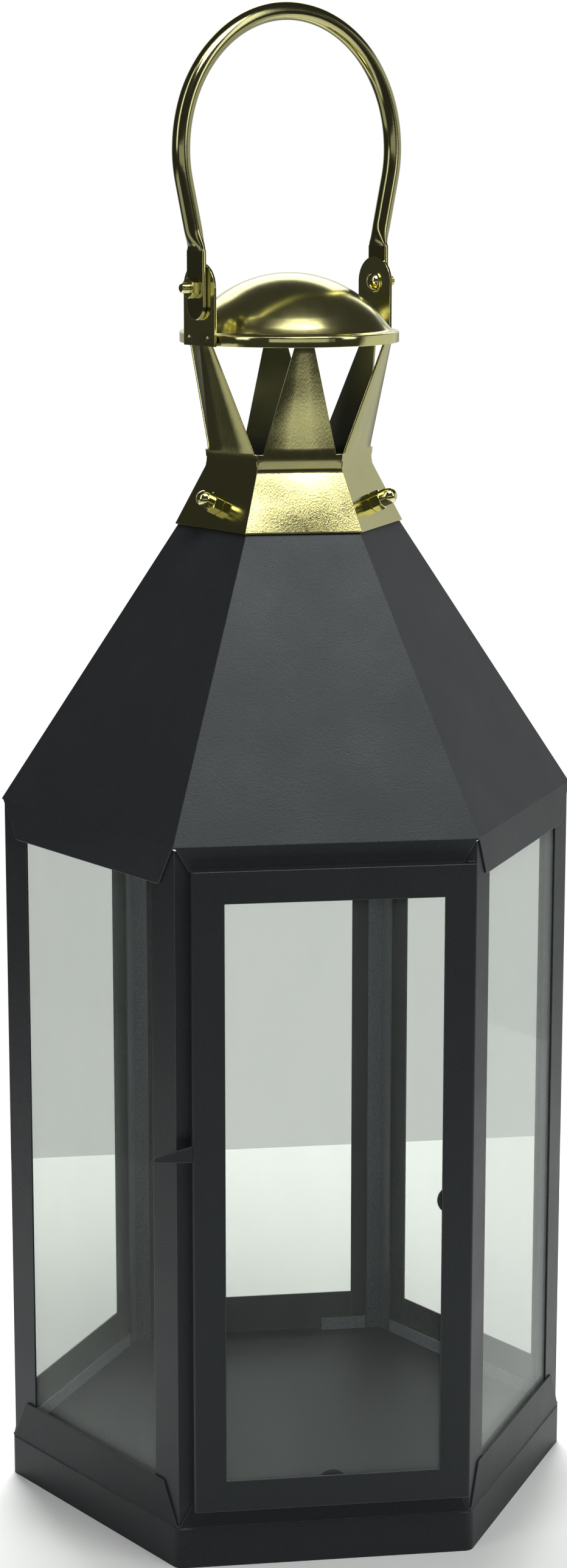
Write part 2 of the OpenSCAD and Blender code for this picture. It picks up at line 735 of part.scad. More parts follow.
// Outline of the door's folded frame seen from above, its back open towards the case
module door_profile(inset) {
    x0 = door_x0 + inset;
    x1 = door_x1 - inset;
    y1 = door_y1 + inset;
    r = door_edge_r - inset * 0.9;
    polygon([[x0, door_y0], [x0, y1 + r], [x0 + r, y1], [x1 - r, y1], [x1, y1 + r],
             [x1, hinge_y + 2], [hinge_x + 0.8, door_y0]]);
    for (x = [x0 + r, x1 - r])
        translate([x, y1 + r]) circle(r = r);
}

module door_frame() {
    play = 0.1;
    color(black)
        difference() {
            translate([0, 0, door_z0]) linear_extrude(door_h) door_profile(0);
            translate([0, 0, door_z0 + sheet_t]) linear_extrude(door_h - 2 * sheet_t) {
                door_profile(sheet_t);
                translate([door_x0 + sheet_t, door_y0 - 1]) square([door_w - 2 * sheet_t, 2]);
            }
            translate([open_x0, door_y1 - 1, open_z0])
                cube([open_x1 - open_x0, 3, open_z1 - open_z0]);
            for (z = [lower_bracket_z, upper_bracket_z])
                translate([door_x1 - 2.5 * sheet_t, hinge_y - 0.7 * hinge_pin_d, z - hinge_slot])
                    cube([5 * sheet_t, door_depth, bracket_t + 2 * hinge_slot]);
            translate([door_x0 - 1, door_in_y - play, pull_z - pull_root_h / 2 - 2 * play])
                cube([1 + 1.5 * sheet_t, sheet_t + 2 * play, pull_root_h + 4 * play]);
            translate([hinge_x, hinge_y, door_z0 - 1])
                cylinder(d = hinge_pin_d + hinge_clear, h = door_h + 2);
        }
}

module door_glass() {
    color(pane)
        translate([open_x0 - glass_lap, door_in_y + glass_play, open_z0 - glass_lap])
            cube([open_x1 - open_x0 + 2 * glass_lap, glass_t, open_z1 - open_z0 + 2 * glass_lap]);
}

module glass_clips() {
    color(black)
        for (p = clip_places)
            translate([p[0], clip_y, p[1]]) rotate([-90, 0, 0])
                difference() {
                    cylinder(d = clip_d, h = sheet_t);
                    translate([0, 0, -1]) cylinder(d = stud_d + 2 * screw_clear, h = sheet_t + 2);
                }
}

module clip_studs() {
    color(black)
        for (p = clip_places)
            translate([p[0], door_in_y, p[1]]) rotate([-90, 0, 0]) {
                cylinder(d = stud_d, h = clip_y - door_in_y + sheet_t);
                translate([0, 0, clip_y - door_in_y + sheet_t]) cylinder(d = stud_head_d, h = stud_head_h);
            }
}

module door_pull() {
    tip_r = pull_tip_h / 2;
    tip_x = tip_r - pull_reach;
    color(black)
        translate([door_x0, door_in_y, pull_z])
            rotate([-90, 0, 0])
                mirror([0, 1, 0])
                    linear_extrude(sheet_t) {
                        polygon([[sheet_t + pull_root_l, -pull_root_h / 2], [sheet_t + pull_root_l, pull_root_h / 2],
                                 [0, pull_root_h / 2], [tip_x, tip_r - pull_droop],
                                 [tip_x, -tip_r - pull_droop], [0, -pull_root_h / 2]]);
                        translate([tip_x, -pull_droop]) circle(r = tip_r);
                    }
}

plinth_band();
floor_tray();
for (k = [0:5]) corner_post(k);
for (k = [0:5]) glazing_bar(k);
for (k = [1:5]) side_glass(k);
for (k = [1:5]) pane_ledge(k);
roof();
crown();
crown_screws();
cap_nuts();
lid();
ear(-1);  // ear_left
ear(1);  // ear_right
pivot_screws();
pivot_nuts();
handle();
hinge_bracket_lower();
hinge_bracket_upper();
door_frame();
door_glass();
glass_clips();
clip_studs();
door_pull();
hinge_pin_lower();
hinge_pin_upper();
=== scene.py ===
"""Looks for a six-sided candle lantern: black steel, clear glass, and brass on top."""

import json
import math

import bmesh
import bpy
from bpy.props import FloatProperty, FloatVectorProperty, PointerProperty
from mathutils import Matrix, Vector


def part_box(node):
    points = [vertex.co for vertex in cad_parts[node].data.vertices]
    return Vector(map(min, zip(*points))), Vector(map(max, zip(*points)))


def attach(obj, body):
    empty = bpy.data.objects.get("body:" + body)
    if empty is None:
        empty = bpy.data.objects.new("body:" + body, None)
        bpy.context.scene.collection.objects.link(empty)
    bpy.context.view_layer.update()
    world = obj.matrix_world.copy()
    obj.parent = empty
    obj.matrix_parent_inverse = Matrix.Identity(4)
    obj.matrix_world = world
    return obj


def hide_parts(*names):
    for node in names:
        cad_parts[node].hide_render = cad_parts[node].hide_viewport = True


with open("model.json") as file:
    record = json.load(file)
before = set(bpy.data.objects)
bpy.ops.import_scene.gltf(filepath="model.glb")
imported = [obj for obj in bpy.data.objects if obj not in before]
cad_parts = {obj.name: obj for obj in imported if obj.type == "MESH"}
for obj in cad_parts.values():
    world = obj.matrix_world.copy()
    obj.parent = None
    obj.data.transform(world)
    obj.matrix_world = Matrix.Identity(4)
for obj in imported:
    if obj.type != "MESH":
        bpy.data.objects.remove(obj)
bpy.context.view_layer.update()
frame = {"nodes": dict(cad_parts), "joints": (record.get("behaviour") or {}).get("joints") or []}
NODES = frame["nodes"]
MM = 0.001  # one millimetre, in metres

bl_info = {
    "name": "Candle Lantern",
    "version": (1, 0, 0),
    "blender": (4, 5, 0),
    "location": "3D View > Sidebar > Lantern",
    "description": "Finishes and small pieces of a steel and glass candle lantern",
    "category": "Object",
}

CORNERS = ("right", "back_right", "back_left", "left", "front_left", "front_right")
SIDES = ("right_front", "right_back", "back", "left_back", "left_front")
SHEET_T = 0.8 * MM
DOUBLE = 0.001 * MM  # vertices closer than this are one

# The handle's own frame: x along its pivots, z up
HANDLE_JOINT = next(j for j in frame["joints"] if j["name"] == "handle_swing")
PIVOT = Vector(HANDLE_JOINT["pos_m"])
PIVOT_AXIS = Vector(HANDLE_JOINT["axis"]).normalized()
HANDLE_TURN = math.atan2(PIVOT_AXIS.y, PIVOT_AXIS.x)
HANDLE_FRAME = Matrix.Translation(PIVOT) @ Matrix.Rotation(HANDLE_TURN, 4, "Z")

# Lid: rim, rolled shoulder, flange, fillet and dome
LID_R = 43.0 * MM
LID_STEPS = 128
RIM_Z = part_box("lid")[0][2]
RIM_GAP = 0.2 * MM
RIM_FINISH = 0.5 * MM  # how far under the brim the rim's own finish ends
BRIM_Z = RIM_Z + 4.3 * MM
FLANGE_W = 2.8 * MM
FLANGE_RISE = 0.5 * MM
SHOULDER_R = 0.6 * MM
DOME_R = LID_R - 4.7 * MM
DOME_Z = BRIM_Z + 2.7 * MM
DOME_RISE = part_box("lid")[1][2] - DOME_Z
DOME_STEPS = 30
DOME_START = 2  # the step at which the fillet meets the dome

# Crown: _A is a distance from the axis to the middle of a face
SKIRT_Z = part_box("crown")[0][2]
SKIRT_A = 39.35 * MM
SKIRT_ROWS = (0, 0.02, 0.35, 0.7, 0.98)  # close rows at both ends keep the shading flat
NECK_A = 28.65 * MM
NECK_Z = SKIRT_Z + 23.0 * MM
NECK_FOLD_R = 0.9 * MM
BAND_H = 1.6 * MM
BAND_TOP = 0.4 * MM  # the band's highest row, under the leaves' bend
SLOT_EDGE = 0.2 * MM  # from a mitre to its slot's edge
SLOT_FLARE = 0.5 * MM  # how much wider the slot is at its top
SLOT_RISE = 0.35 * MM
LEAF_Z = NECK_Z + 3.0 * MM
LEAF_ROOT_Z = LEAF_Z + 3.3 * MM
LEAF_BEND = 20.0 * MM
LEAF_START = 1.0  # degrees
LEAF_TILT = 16.72  # degrees
LEAF_VEE = 4.6 * MM
LEAF_TIP_W = 6.2 * MM
LEAF_TIP_A = 42.0 * MM
LEAF_TIP_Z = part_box("crown")[1][2]
BEND_STEPS = 12
LEAF_STEPS = 8
CROWN_COLUMNS = 7

# Handle, in its own frame
TAB_X = 45.05 * MM
TAB_T = 1.8 * MM
TAB_W = 10.8 * MM
TAB_LOW = -12.4 * MM
TAB_HIGH = 14.0 * MM
TAB_LAP = 0.3 * MM  # how far a pressed end reaches into the tube
TAB_EDGE = 0.55 * MM
BORE_R = 2.1 * MM
KNEE_Z = 15.5 * MM
SWELL = 8.5 * MM
SWELL_STEPS = 12
LEG_TILT = math.radians(12.86)
LEG_STEPS = 4
TUBE_R = 3.5 * MM
TUBE_SIDES = 40
BOW_R = 52.0 * MM
BOW_Z = 51.8 * MM
BOW_STEPS = 48

# Pivot screws, measured along the pivots from the ear's inner face
SCREW_R = 2.0 * MM
SCREW_START = -0.4 * MM
SCREW_END = 9.5 * MM
SCREW_CHAMFER = 0.6 * MM
SCREW_SIDES = 28
PITCH = 0.7 * MM
THREAD_H = 0.40 * MM
ROWS_PER_TURN = 8
HEAD_R = 4.3 * MM
HEAD_DOME_R = 3.2 * MM
HEAD_H = 2.7 * MM
HEAD_STEPS = 40

# Finishes
COOL_GLOSS = (0.90, 0.985, 1.0)  # tint of the steel's reflection
BRASS_EDGE = 0.25 * MM
BRASS_GRAIN = 0.02 * MM
PANE_WAVE = 0.25 * MM
# Grey of the dust film, which also carries the painted reflection on the panes' lower part.
PANE_DUST_AND_REFLECTION = (0.62, 0.66, 0.63)

# Softboxes: name, place, aim, size, radiance, and whether glossy surfaces mirror them
SOFTBOXES = (
    ("key_softbox", (0.25, -0.78, 1.60), (0, 0, 0.4), (0.8, 0.6), 9.0, True),
    ("back_softbox", (0.05, 0.95, 1.25), (0.03, 0.2, 0), (0.9, 0.5), 25.0, False),
    ("top_softbox", (0.02, -0.46, 1.50), (0, -0.05, 0.48), (1.0, 0.30), 2.6, True),
)

# The room's pale walls: turns in radians at the left and right edges, heights on the unit
# sphere at the lower and upper edges, softness of the edges, and radiance
ROOM_GLOW = 0.04
WALLS = (
    (2.15, 0.95, 0.0, 0.20, 0.05, 0.8),  # backdrop
    (2.15, 0.95, -2, 0.0, 0.05, 0.35),  # floor before the backdrop
    (0.95, -0.2, -2, 0.30, 0.08, 0.6),  # beside the backdrop
    (1.98, 1.0, 0.25, 0.62, 0.05, 2.0),  # band over the backdrop
    (-1.0, -2.1, -0.14, 0.04, 0.05, 0.5),  # low, in front
    (-2.7, -4.0, -0.9, -0.25, 0.08, 0.55),  # low on the left, up to half a turn
    (4.0, 2.75, -0.9, -0.25, 0.08, 0.55),  # low on the left, past half a turn
    (-0.45, -0.70, 0.0, 0.75, 0.08, 2.2),  # tall strip on the right
    (-2.45, -2.70, 0.0, 0.8, 0.08, 2.2),  # tall strip on the left
)


# ---------------------------------------------------------------- settings


class LanternSteel(bpy.types.PropertyGroup):
    """Black powder-coated sheet steel."""

    coat: FloatVectorProperty(
        name="Coat",
        description="Colour of the powder coat",
        subtype="COLOR",
        default=(0.0092, 0.0100, 0.0114),
    )
    # Dust on upward faces, which also paints the light falling on their tops.
    dust: FloatVectorProperty(
        name="Dust",
        description="Colour of the thin dust on upward faces",
        subtype="COLOR",
        default=(0.060, 0.064, 0.064),
    )
    # Painted highlight along the folded edges, together with the coat worn thin there.
    worn_and_edge_highlight: FloatVectorProperty(
        name="Worn edge",
        description="Colour where the coat is thin along the bends",
        subtype="COLOR",
        default=(0.16, 0.165, 0.168),
    )
    roughness: FloatProperty(
        name="Roughness", description="Roughness of the coat", default=0.50, min=0, max=1
    )
    grain: FloatProperty(
        name="Grain",
        description="Size of the coat's orange peel",
        default=0.55 * MM,
        unit="LENGTH",
    )
    bend: FloatProperty(
        name="Bend radius",
        description="Radius that softens the folded edges",
        default=0.45 * MM,
        unit="LENGTH",
    )


class LanternBrass(bpy.types.PropertyGroup):
    """Lacquered brass."""

    metal: FloatVectorProperty(
        name="Metal",
        description="Colour of the brass",
        subtype="COLOR",
        default=(0.73, 0.69, 0.31),
    )
    tarnish: FloatVectorProperty(
        name="Tarnish",
        description="Colour of the brass where it is dull",
        subtype="COLOR",
        default=(0.42, 0.40, 0.19),
    )
    # Painted shade: a dark colour that stands in for the shade on the crown's inner faces.
    inside: FloatVectorProperty(
        name="Inside",
        description="Colour of the unpolished inner faces of the crown",
        subtype="COLOR",
        default=(0.20, 0.20, 0.175),
    )
    sheet_roughness: FloatProperty(
        name="Sheet roughness",
        description="Roughness of the brushed sheet",
        default=0.13,
        min=0,
        max=1,
    )
    polish_roughness: FloatProperty(
        name="Polished roughness",
        description="Roughness of the polished lid and tube",
        default=0.05,
        min=0,
        max=1,
    )
    brush: FloatProperty(
        name="Brush line",
        description="Width of the brushed lines",
        default=0.35 * MM,
        unit="LENGTH",
    )


class LanternGlass(bpy.types.PropertyGroup):
    """Clear float glass."""

    tint: FloatVectorProperty(
        name="Tint",
        description="What one face of a pane lets through",
        subtype="COLOR",
        default=(0.872, 0.885, 0.870),
    )
    # Strength of the dust film, which also holds the painted reflection near the bottom.
    film: FloatProperty(
        name="Film",
        description="How much of the light a thin film of dust scatters",
        default=0.03,
        min=0,
        max=1,
    )


class LanternStage(bpy.types.PropertyGroup):
    """Floor, lights and camera."""

    floor: FloatVectorProperty(
        name="Floor",
        description="Colour of the floor",
        subtype="COLOR",
        default=(0.78, 0.79, 0.78),
    )
    floor_back: FloatProperty(
        name="Floor's back edge",
        description="How far the floor reaches behind the lantern",
        unit="LENGTH",
        default=0.41,
    )
    camera_at: FloatVectorProperty(
        name="Camera place",
        description="Where the camera stands",
        subtype="TRANSLATION",
        unit="LENGTH",
        default=(-0.1759, -1.2300, 0.5434),
    )
    pitch: FloatProperty(
        name="Camera tilt",
        description="Angle between the view and the floor's normal",
        subtype="ANGLE",
        default=math.radians(78.417),
    )
    yaw: FloatProperty(
        name="Camera turn",
        description="Turn of the view about the vertical",
        subtype="ANGLE",
        default=math.radians(-8.033),
    )
    lens: FloatProperty(
        name="Focal length",
        description="Focal length in millimetres on a 36 mm long side",
        default=72.27,
    )


# ---------------------------------------------------------------- shader words


class Val:
    """A socket that can be used in sums; numbers mix in freely."""

    def __init__(self, mat, socket):
        self.mat = mat
        self.socket = socket

    def _math(self, op, a, b):
        return self.mat.node("ShaderNodeMath", {"operation": op}, {0: a, 1: b})[0]

    def __add__(self, other):
        return self._math("ADD", self, other)

    __radd__ = __add__

    def __sub__(self, other):
        return self._math("SUBTRACT", self, other)

    def __rsub__(self, other):
        return self._math("SUBTRACT", other, self)

    def __mul__(self, other):
        return self._math("MULTIPLY", self, other)

    __rmul__ = __mul__

    def __pow__(self, other):
        return self._math("POWER", self, other)

    def step(self, low, high):
        """0 below low, 1 above high, smooth between."""
        return self.mat.node(
            "ShaderNodeMapRange",
            {"interpolation_type": "SMOOTHSTEP"},
            {"Value": self, "From Min": low, "From Max": high, "To Min": 0.0, "To Max": 1.0},
        )["Result"]

    def least(self, other):
        """The smaller of the two."""
        return self._math("MINIMUM", self, other)

    def turn_from(self, other):
        """The angle of the point (other, self) about the origin."""
        return self._math("ARCTAN2", self, other)


class Outs:
    """The outputs of one node, by name or number."""

    def __init__(self, mat, node):
        self.mat = mat
        self.node = node

    def __getitem__(self, key):
        return Val(self.mat, self.node.outputs[key])


class Graph:
    """A node tree whose nodes are made by calls."""

    def __init__(self, owner):
        self.owner = owner
        owner.use_nodes = True
        self.tree = owner.node_tree
        self.tree.nodes.clear()

    def node(self, kind, settings=None, inputs=None):
        """A node; each of its inputs is a Val, a number, a vector or a colour."""
        made = self.tree.nodes.new(kind)
        for key, value in (settings or {}).items():
            setattr(made, key, value)
        for key, value in (inputs or {}).items():
            socket = made.inputs[key]
            if isinstance(value, Val):
                self.tree.links.new(value.socket, socket)
            elif socket.type == "RGBA":
                socket.default_value = (*value, 1)
            else:
                socket.default_value = value
        return Outs(self, made)


class Finish(Graph):
    """A material's nodes."""

    def __init__(self, name):
        super().__init__(bpy.data.materials.new(name))

    def place(self, scale=(1, 1, 1)):
        """Object coordinates, scaled."""
        at = self.node("ShaderNodeTexCoord")["Object"]
        inputs = {"Vector": at, "Scale": scale}
        return self.node("ShaderNodeMapping", {"vector_type": "POINT"}, inputs)["Vector"]

    def parts(self, vector):
        """A vector's x, y and z."""
        split = self.node("ShaderNodeSeparateXYZ", {}, {0: vector})
        return split["X"], split["Y"], split["Z"]

    def noise(self, vector, scale, detail=2.0, rough=0.5):
        """Smooth noise from 0 to 1; scale is the number of waves to a metre."""
        return self.node(
            "ShaderNodeTexNoise",
            {"noise_dimensions": "3D"},
            {"Vector": vector, "Scale": scale, "Detail": detail, "Roughness": rough},
        )["Fac"]

    def cells(self, vector, scale):
        """The distance from the middle of the nearest of many small cells."""
        return self.node(
            "ShaderNodeTexVoronoi", {"feature": "F1"}, {"Vector": vector, "Scale": scale}
        )["Distance"]

    def mix(self, factor, a, b):
        """Colour a at 0, colour b at 1; a Mix node's colours are inputs 6 and 7, output 2."""
        return self.node("ShaderNodeMix", {"data_type": "RGBA"}, {0: factor, 6: a, 7: b})[2]

    def bump(self, height, depth, normal=None):
        """A normal that follows a height."""
        inputs = {"Height": height, "Distance": depth, "Strength": 1.0}
        if normal is not None:
            inputs["Normal"] = normal
        return self.node("ShaderNodeBump", {}, inputs)["Normal"]

    def true_normal(self):
        """The face's own normal."""
        return self.node("ShaderNodeNewGeometry")["True Normal"]

    def soft_edges(self, radius):
        """A normal that rounds the edges."""
        return self.node("ShaderNodeBevel", {"samples": 6}, {"Radius": radius})["Normal"]

    def edge_mask(self, rounded):
        """1 on an edge that soft_edges turns, 0 on a flat face."""
        inputs = {0: rounded, 1: self.true_normal()}
        same = self.node("ShaderNodeVectorMath", {"operation": "DOT_PRODUCT"}, inputs)["Value"]
        return (1.0 - same).step(0.004, 0.10)

    def shader(self, **inputs):
        """A surface; an input's name has _ for its blanks."""
        names = {k.replace("_", " "): v for k, v in inputs.items()}
        return self.node("ShaderNodeBsdfPrincipled", {}, names)["BSDF"]

    def done(self, surface):
        """The finished material."""
        self.node("ShaderNodeOutputMaterial", {}, {"Surface": surface})
        return self.owner


def lighter(colour, times):
    """A colour that many times as light."""
    return [times * c for c in colour]


def steel(name, shade=1.0, dust_and_top_light=0.0, gloss=0.0, shine=0.42):
    """Black powder coat.

    shade lightens it, the dust setting adds dust and painted top light on upward faces,
    gloss smooths it and shine is its reflection.
    """
    s = bpy.context.scene.lantern_steel
    f = Finish(name)
    at = f.place()
    peel = f.noise(at, 1 / s.grain, 2.0, 0.55)
    specks = f.cells(at, 0.55 / s.grain)
    cloud = f.noise(at, 34.0, 3.0, 0.6)
    rounded = f.soft_edges(s.bend)
    edge = f.edge_mask(rounded)
    sparkle = f.noise(at, 1900.0, 1.0).step(0.66, 0.74)
    wear_and_highlight_share = 0.30 + 0.45 * f.noise(at, 260.0, 2.0)
    coat = lighter(s.coat, shade)
    colour = f.mix(peel.step(0.38, 0.70) * 0.5, coat, lighter(coat, 2.1))
    colour = f.mix(cloud.step(0.42, 0.75) * 0.22, colour, lighter(coat, 1.7))
    colour = f.mix(sparkle * 0.35, colour, lighter(coat, 4.0))
    # Lighter along the bends: painted highlight, partly the coat worn thin.
    colour = f.mix(edge * wear_and_highlight_share, colour, list(s.worn_and_edge_highlight))
    # Upward faces lighter: dust, together with painted top light.
    if dust_and_top_light:
        up = f.parts(f.true_normal())[2].step(0.15, 1.0)
        film = up * dust_and_top_light * (0.45 + 0.9 * f.noise(at, 90.0, 4.0, 0.65))
        colour = f.mix(film.least(0.85), colour, list(s.dust))
    rough = (s.roughness - gloss) + 0.14 * (cloud - 0.5) + 0.16 * (peel - 0.5) - 0.16 * edge
    height = peel * 0.7 + (1.0 - specks) * 0.3
    normal = f.bump(height, 0.09 * MM, rounded)
    return f.done(
        f.shader(
            Base_Color=colour,
            Roughness=rough,
            Normal=normal,
            Specular_IOR_Level=shine,
            Specular_Tint=COOL_GLOSS,
        )
    )


def brass(
    name, rough, metal=None, lines=None, dull=0.25, warp=0.0, wave=26.0, along=(1, 1, 1)
):
    """Lacquered brass.

    metal is its colour, lines the scale vector of the brushing and dull the share of tarnish;
    warp, wave and along are the depth, the number to a metre and the scale vector of its waves.
    """
    b = bpy.context.scene.lantern_brass
    f = Finish(name)
    at = f.place()
    cloud = f.noise(at, 42.0, 3.0, 0.6)
    stain = f.noise(at, 160.0, 4.0, 0.7)
    metal = list(metal or b.metal)
    tarnish = [c * d / m for c, d, m in zip(metal, b.tarnish, b.metal)]
    tarnished = (cloud.step(0.45, 0.8) * 0.6 + stain.step(0.55, 0.8) * 0.4) * dull
    colour = f.mix(tarnished, metal, tarnish)
    normal = f.soft_edges(BRASS_EDGE)
    edge = f.edge_mask(normal)
    colour = f.mix(edge * 0.35, colour, [min(1.0, 1.2 * c) for c in metal])
    roughness = rough + 0.10 * (stain - 0.5) + 0.06 * (cloud - 0.5)
    if warp:
        normal = f.bump(f.noise(f.place(along), wave, 1.0, 0.4), warp, normal)
    grain = stain
    if lines:
        grain = f.noise(f.place(lines), 1.0 / b.brush, 3.0, 0.6)
        roughness = roughness + 0.16 * (grain - 0.5)
    normal = f.bump(grain, BRASS_GRAIN, normal)
    return f.done(
        f.shader(Base_Color=colour, Metallic=1.0, Roughness=roughness, Normal=normal)
    )


def glass(name, haze=1.0):
    """A clear pane: mostly let through, with its reflection, a thin uneven film of dust and a
    painted reflection that lightens its lower part.
    """
    g = bpy.context.scene.lantern_glass
    f = Finish(name)
    at = f.place()
    wave = f.noise(at, 9.0, 1.0, 0.4)
    smear = f.noise(f.place((1, 1, 0.25)), 60.0, 4.0, 0.65).step(0.4, 0.85)
    # Painted reflection of the floor: the film grows towards the pane's bottom.
    low = 1.0 - f.parts(at)[2].step(0.02, 0.11)
    normal = f.bump(wave, PANE_WAVE)
    clear = f.node("ShaderNodeBsdfTransparent", {}, {"Color": list(g.tint)})["BSDF"]
    gloss = f.shader(
        Base_Color=PANE_DUST_AND_REFLECTION, Roughness=0.03, Metallic=0.0, Normal=normal, IOR=1.52
    )
    slant = f.node("ShaderNodeLayerWeight", {}, {"Blend": 0.5})["Facing"]
    film = (smear * 0.6 + low * 1.6) * (g.film * haze)
    share = (slant**5.0 * 0.9 + 0.03 + film).least(1.0)
    return f.done(f.node("ShaderNodeMixShader", {}, {0: share, 1: clear, 2: gloss})[0])


# ---------------------------------------------------------------- mesh words


def dress(names, material):
    """Gives CAD pieces a finish."""
    for name in names:
        slots = NODES[name].data.materials
        if len(slots):
            for i in range(len(slots)):
                slots[i] = material
        else:
            slots.append(material)


def finished(context, name, bm, material, body, smooth):
    """Makes an object of a bmesh and sets what it moves with.

    smooth is the angle in degrees below which its edges are smooth.
    """
    for face in bm.faces:
        face.smooth = True
    for edge in bm.edges:
        if edge.is_manifold and edge.calc_face_angle(0) > math.radians(smooth):
            edge.smooth = False
    mesh = bpy.data.meshes.new(name)
    bm.to_mesh(mesh)
    bm.free()
    mesh.materials.append(material)
    piece = bpy.data.objects.new(name, mesh)
    context.scene.collection.objects.link(piece)
    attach(piece, body)
    return piece


def added(items, before):
    """The vertices, edges or faces that weren't there before."""
    return [item for item in items if item not in before]


def revolve(bm, profile, steps):
    """Turns a profile of (radius, height) points about the Z axis; returns its vertices."""
    before = {*bm.verts, *bm.faces}
    verts = [bm.verts.new((r, 0, z)) for r, z in profile]
    edges = [bm.edges.new(pair) for pair in zip(verts, verts[1:])]
    bmesh.ops.spin(
        bm,
        geom=verts + edges,
        cent=(0, 0, 0),
        axis=(0, 0, 1),
        angle=2 * math.pi,
        steps=steps,
        use_merge=True,
    )
    bmesh.ops.remove_doubles(bm, verts=added(bm.verts, before), dist=0.1 * DOUBLE)
    bmesh.ops.recalc_face_normals(bm, faces=added(bm.faces, before))
    return added(bm.verts, before)


def arc(centre, radius, start, end, steps):
    """Points on an arc; the angles are in degrees."""
    turns = (math.radians(start + (end - start) * i / steps) for i in range(steps + 1))
    return [(centre[0] + radius * math.cos(a), centre[1] + radius * math.sin(a)) for a in turns]


def rounded_path(points, radius):
    """A line of points with its inner corners rounded by quadratic curves."""
    steps = 4
    out = [points[0]]
    for before, at, after in zip(points, points[1:], points[2:]):
        at = Vector(at)
        a = at + (Vector(before) - at).normalized() * radius
        b = at + (Vector(after) - at).normalized() * radius
        for i in range(steps + 1):
            k = i / steps
            out.append(tuple(a * (1 - k) ** 2 + at * (2 * k * (1 - k)) + b * k**2))
    out.append(points[-1])
    return out


def ring(bm, points):
    """The edges of a closed line through some points."""
    verts = [bm.verts.new(point) for point in points]
    return [bm.edges.new(pair) for pair in zip(verts, verts[1:] + verts[:1])]


def skin(bm, rows):
    """A closed skin over rows of points that each go once round it, drawn out row by row."""
    verts = [bm.verts.new(point) for point in rows[0]]
    first = edges = [bm.edges.new(pair) for pair in zip(verts[1:] + verts[:1], verts)]
    for points in rows[1:]:
        drawn = bmesh.ops.extrude_edge_only(bm, edges=edges)["geom"]
        new = {item for item in drawn if isinstance(item, bmesh.types.BMVert)}
        edges = [
            item
            for item in drawn
            if isinstance(item, bmesh.types.BMEdge) and new.issuperset(item.verts)
        ]
        verts = [
            next(e.other_vert(v) for e in v.link_edges if e.other_vert(v) in new) for v in verts
        ]
        for vert, point in zip(verts, points):
            vert.co = point
    for end in (first, edges):
        bmesh.ops.edgeloop_fill(bm, edges=end)


def thicken(piece, edge, inside=0):
    """Gives a sheet its thickness, grown inwards, and softens its cut edges.

    inside is how many material slots further the sheet's inner faces take their finish from.
    """
    wall = piece.modifiers.new("sheet", "SOLIDIFY")
    wall.thickness = SHEET_T
    wall.offset = -1
    wall.use_even_offset = True
    wall.material_offset = inside
    soft = piece.modifiers.new("edge", "BEVEL")
    soft.width = edge
    soft.segments = 2
    soft.limit_method = "ANGLE"
    soft.angle_limit = math.radians(50)


# ---------------------------------------------------------------- pieces


def lid_sheet(bm):
    """The lid's outer face: rim, rolled shoulder, flange, fillet and dome."""
    ball = (DOME_R**2 + DOME_RISE**2) / (2 * DOME_RISE)
    low = math.asin(DOME_R / ball)
    dome = []
    for i in range(1, DOME_STEPS + 1):
        a = low * (1 - i / DOME_STEPS)
        dome.append((ball * math.sin(a), DOME_Z + DOME_RISE - ball + ball * math.cos(a)))
    corners = [
        (LID_R, RIM_Z + RIM_GAP),
        (LID_R, BRIM_Z),
        (LID_R - FLANGE_W, BRIM_Z + FLANGE_RISE),
        (DOME_R, DOME_Z),
        dome[DOME_START],
    ]
    revolve(bm, rounded_path(corners, SHOULDER_R)[:-1] + dome[DOME_START:], LID_STEPS)


def crown_profile():
    """The crown's line up the middle of a face, as rows of (distance from the axis, height).

    Returns the rows, and the heights at which the slots between the faces start and end.
    """
    corners = [(SKIRT_A, SKIRT_Z), (NECK_A, NECK_Z), (NECK_A, NECK_Z + BAND_H)]
    fold = rounded_path(corners, NECK_FOLD_R)
    low, high = Vector(fold[0]), Vector(fold[1])
    skirt = [tuple(low.lerp(high, k)) for k in SKIRT_ROWS]
    bend = []
    for i in range(BEND_STEPS + 1):
        a = math.radians(LEAF_START + (LEAF_TILT - LEAF_START) * i / BEND_STEPS)
        bend.append((NECK_A + LEAF_BEND * (1 - math.cos(a)), LEAF_Z + LEAF_BEND * math.sin(a)))
    end, tip = Vector(bend[-1]), Vector((LEAF_TIP_A, LEAF_TIP_Z))
    leaf = [tuple(end.lerp(tip, i / LEAF_STEPS)) for i in range(1, LEAF_STEPS + 1)]
    rows = skirt + fold[1:-1] + [(NECK_A, LEAF_Z - BAND_TOP)] + bend + leaf
    return rows, fold[-2][1], LEAF_Z + SLOT_RISE


